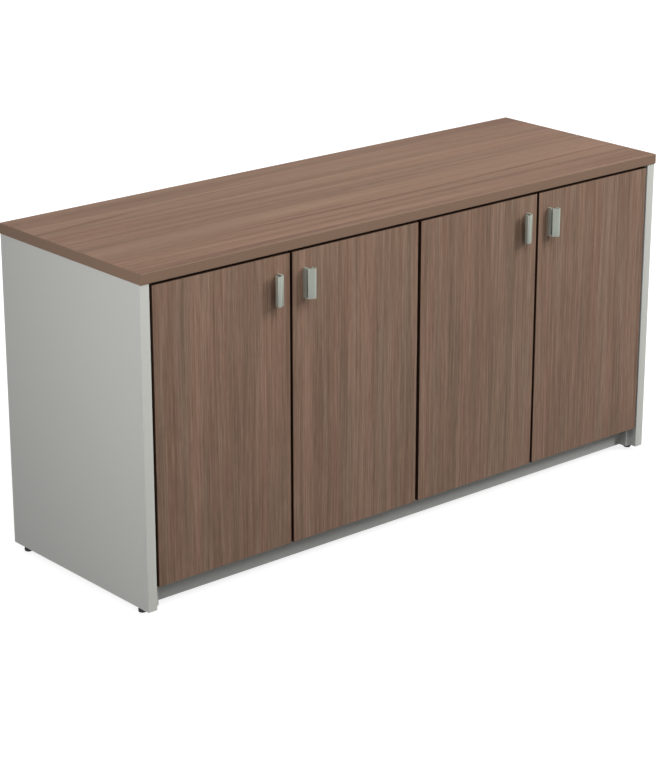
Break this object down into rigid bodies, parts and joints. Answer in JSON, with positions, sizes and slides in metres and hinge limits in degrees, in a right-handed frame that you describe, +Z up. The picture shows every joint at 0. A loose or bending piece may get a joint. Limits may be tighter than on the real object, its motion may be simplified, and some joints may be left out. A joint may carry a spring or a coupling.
{
  "type": "office credenza",
  "caption": "Long office credenza with a woodgrain worktop and hinged woodgrain doors between light grey end panels, with shelves inside.",
  "frame": {"origin": "on the floor, under the centre of the whole piece with its handles", "axes": "+X to the right as seen from in front, -Y towards the user (the doors face -Y), +Z up"},
  "size_m": [1.8288, 0.636, 0.904],
  "materials": {
    "wood_laminate": "brown walnut-like woodgrain laminate, satin",
    "wood_edge_band": "woodgrain edge band, satin",
    "grey_laminate": "light grey laminate, satin",
    "grey_edge_band": "light grey edge band, satin",
    "case_board": "light grey melamine board, matt",
    "satin_nickel": "brushed, nickel tone",
    "hinge_zinc": "nickel-plated pressed steel",
    "zinc_steel": "bright zinc-plated",
    "glide_black": "black, satin",
    "soft_plastic": "dark grey, matt",
    "beech": "plain beech, fluted dowel stock"
  },
  "bodies": {
    "cabinet": {"top_panel": "wood_laminate", "top_edge_band": "wood_edge_band", "left_gable": "grey_laminate", "right_gable": "grey_laminate", "left_gable_bands": "grey_edge_band", "right_gable_bands": "grey_edge_band", "left_outer_side": "case_board", "left_inner_side": "case_board", "right_inner_side": "case_board", "right_outer_side": "case_board", "left_case_floor": "case_board", "right_case_floor": "case_board", "left_case_top": "case_board", "right_case_top": "case_board", "left_back_panel": "case_board", "right_back_panel": "case_board", "left_shelf": "case_board", "right_shelf": "case_board", "shelf_pins": "hinge_zinc", "kick_plate": "grey_laminate", "kick_brackets": "zinc_steel", "gable_glides": "glide_black", "glide_inserts": "hinge_zinc", "centre_levellers": "glide_black", "leveller_brackets": "zinc_steel", "top_screws": "zinc_steel", "gable_screws": "zinc_steel", "case_bolts": "zinc_steel", "case_dowels": "beech", "case_cams": "hinge_zinc", "hinge_arms": "hinge_zinc", "hinge_plates": "hinge_zinc", "hinge_pins": "zinc_steel", "hinge_screws": "zinc_steel", "opening_limiters": "soft_plastic"},
    "door_1": {"door_1": "wood_laminate", "door_1_band": "wood_edge_band", "door_1_handle": "satin_nickel", "door_1_screws": "zinc_steel", "door_1_hinge_cups": "hinge_zinc", "door_1_bumpers": "soft_plastic"},
    "door_2": {"door_2": "wood_laminate", "door_2_band": "wood_edge_band", "door_2_handle": "satin_nickel", "door_2_screws": "zinc_steel", "door_2_hinge_cups": "hinge_zinc", "door_2_bumpers": "soft_plastic"},
    "door_3": {"door_3": "wood_laminate", "door_3_band": "wood_edge_band", "door_3_handle": "satin_nickel", "door_3_screws": "zinc_steel", "door_3_hinge_cups": "hinge_zinc", "door_3_bumpers": "soft_plastic"},
    "door_4": {"door_4": "wood_laminate", "door_4_band": "wood_edge_band", "door_4_handle": "satin_nickel", "door_4_screws": "zinc_steel", "door_4_hinge_cups": "hinge_zinc", "door_4_bumpers": "soft_plastic"}
  },
  "joints": [
    {"name": "door_1_hinge", "type": "hinge", "parent": "cabinet", "child": "door_1", "pos_m": [-0.8709, -0.2797, 0.47245], "axis": [0, 0, -1], "range_deg": [0, 95]},
    {"name": "door_2_hinge", "type": "hinge", "parent": "cabinet", "child": "door_2", "pos_m": [-0.0123, -0.2797, 0.47245], "axis": [0, 0, 1], "range_deg": [0, 85]},
    {"name": "door_3_hinge", "type": "hinge", "parent": "cabinet", "child": "door_3", "pos_m": [0.0123, -0.2797, 0.47245], "axis": [0, 0, -1], "range_deg": [0, 85]},
    {"name": "door_4_hinge", "type": "hinge", "parent": "cabinet", "child": "door_4", "pos_m": [0.8709, -0.2797, 0.47245], "axis": [0, 0, 1], "range_deg": [0, 95]}
  ]
}
